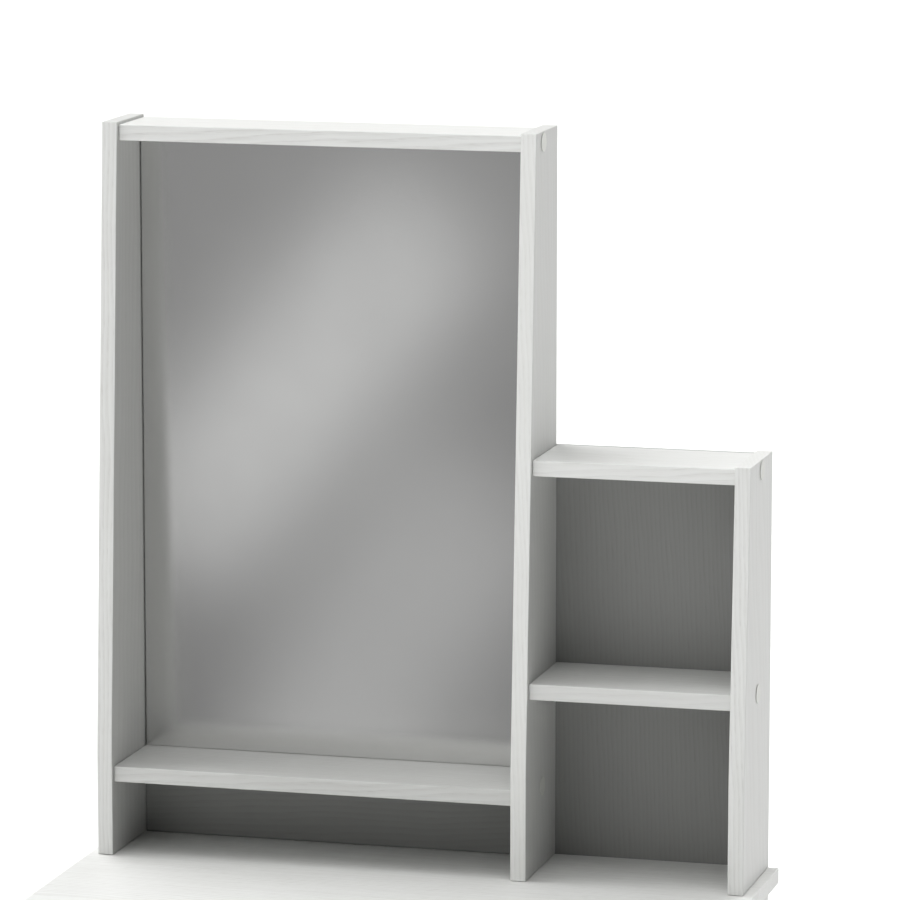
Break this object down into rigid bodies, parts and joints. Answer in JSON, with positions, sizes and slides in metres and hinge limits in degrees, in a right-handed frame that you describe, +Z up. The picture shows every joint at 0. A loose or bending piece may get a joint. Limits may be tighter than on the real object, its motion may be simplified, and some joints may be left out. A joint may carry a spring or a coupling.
{
  "type": "vanity table with mirror",
  "caption": "Small panel-built desk with a drawer and a hutch on it: a framed mirror bay on the left and open cubbies on the right.",
  "frame": {"origin": "on the floor, under the middle of the whole table's plan", "axes": "+X to the right as one sits at the table, +Y to its rear, +Z up"},
  "size_m": [0.65, 0.4032, 1.4],
  "materials": {
    "ash_laminate": "white-washed ash grain laminate on particle board, satin, with edge banding",
    "back_board": "grey ash-printed foil on fibreboard, matte",
    "drawer_board": "white foil on fibreboard, satin",
    "mirror": "silvered float glass, polished edge",
    "cover_cap": "white-washed plastic cover cap, satin",
    "zinc_steel": "zinc-plated steel, satin",
    "beech": "plain turned beech",
    "glide_plastic": "moulded polyethylene, matte",
    "roller_nylon": "natural nylon, satin",
    "runner_steel": "white powder coat on rolled steel",
    "satin_nickel": "satin nickel plate on zinc alloy"
  },
  "bodies": {
    "cabinet": {"hutch_left_side": "ash_laminate", "hutch_middle_side": "ash_laminate", "hutch_right_side": "ash_laminate", "hutch_top_board": "ash_laminate", "mirror_shelf": "ash_laminate", "cubby_top_board": "ash_laminate", "cubby_shelf": "ash_laminate", "table_top": "ash_laminate", "desk_left_side": "ash_laminate", "desk_right_side": "ash_laminate", "desk_back_panel": "ash_laminate", "lower_back_rail": "back_board", "mirror_backing_board": "back_board", "cubby_back_panel": "back_board", "mirror_glass": "mirror", "hutch_top_left_cap": "cover_cap", "hutch_top_right_cap": "cover_cap", "mirror_shelf_left_cap": "cover_cap", "mirror_shelf_right_cap": "cover_cap", "cubby_top_left_cap": "cover_cap", "cubby_top_right_cap": "cover_cap", "cubby_shelf_left_cap": "cover_cap", "cubby_shelf_right_cap": "cover_cap", "desk_back_upper_left_cap": "cover_cap", "desk_back_upper_right_cap": "cover_cap", "desk_back_lower_left_cap": "cover_cap", "desk_back_lower_right_cap": "cover_cap", "hutch_top_left_screw": "zinc_steel", "hutch_top_right_screw": "zinc_steel", "mirror_shelf_left_screw": "zinc_steel", "mirror_shelf_right_screw": "zinc_steel", "cubby_top_left_screw": "zinc_steel", "cubby_top_right_screw": "zinc_steel", "cubby_shelf_left_screw": "zinc_steel", "cubby_shelf_right_screw": "zinc_steel", "desk_back_upper_left_screw": "zinc_steel", "desk_back_upper_right_screw": "zinc_steel", "desk_back_lower_left_screw": "zinc_steel", "desk_back_lower_right_screw": "zinc_steel", "hutch_dowel_left": "beech", "glide_front_left": "glide_plastic", "glide_rear_left": "glide_plastic", "cabinet_runner_left": "runner_steel", "hutch_dowel_right": "beech", "glide_front_right": "glide_plastic", "glide_rear_right": "glide_plastic", "cabinet_runner_right": "runner_steel"},
    "drawer": {"drawer_front": "ash_laminate", "drawer_left_side": "drawer_board", "drawer_right_side": "drawer_board", "drawer_back": "drawer_board", "drawer_bottom": "drawer_board", "drawer_knob": "satin_nickel", "knob_screw": "zinc_steel", "drawer_runner_left": "runner_steel", "drawer_runner_right": "runner_steel"},
    "front_roller_left_body": {"front_roller_left": "roller_nylon"},
    "front_roller_right_body": {"front_roller_right": "roller_nylon"},
    "rear_roller_left_body": {"rear_roller_left": "roller_nylon"},
    "rear_roller_right_body": {"rear_roller_right": "roller_nylon"}
  },
  "joints": [
    {"name": "drawer_slide", "type": "slide", "parent": "cabinet", "child": "drawer", "axis": [0, -1, 0], "range_m": [0, 0.22]},
    {"name": "front_roller_left_spin", "type": "hinge", "parent": "cabinet", "child": "front_roller_left_body", "pos_m": [-0.2946, -0.15105, 0.6042], "axis": [1, 0, 0], "continuous": true},
    {"name": "front_roller_right_spin", "type": "hinge", "parent": "cabinet", "child": "front_roller_right_body", "pos_m": [0.2946, -0.15105, 0.6042], "axis": [1, 0, 0], "continuous": true},
    {"name": "rear_roller_left_spin", "type": "hinge", "parent": "drawer", "child": "rear_roller_left_body", "pos_m": [-0.2929, 0.12235, 0.6023], "axis": [1, 0, 0], "continuous": true},
    {"name": "rear_roller_right_spin", "type": "hinge", "parent": "drawer", "child": "rear_roller_right_body", "pos_m": [0.2929, 0.12235, 0.6023], "axis": [1, 0, 0], "continuous": true}
  ],
  "couplings": [
    {"joint": "front_roller_left_spin", "follows": "drawer_slide", "rad_per_m": 111.11},
    {"joint": "front_roller_right_spin", "follows": "drawer_slide", "rad_per_m": 111.11},
    {"joint": "rear_roller_left_spin", "follows": "drawer_slide", "rad_per_m": 111.11},
    {"joint": "rear_roller_right_spin", "follows": "drawer_slide", "rad_per_m": 111.11}
  ]
}
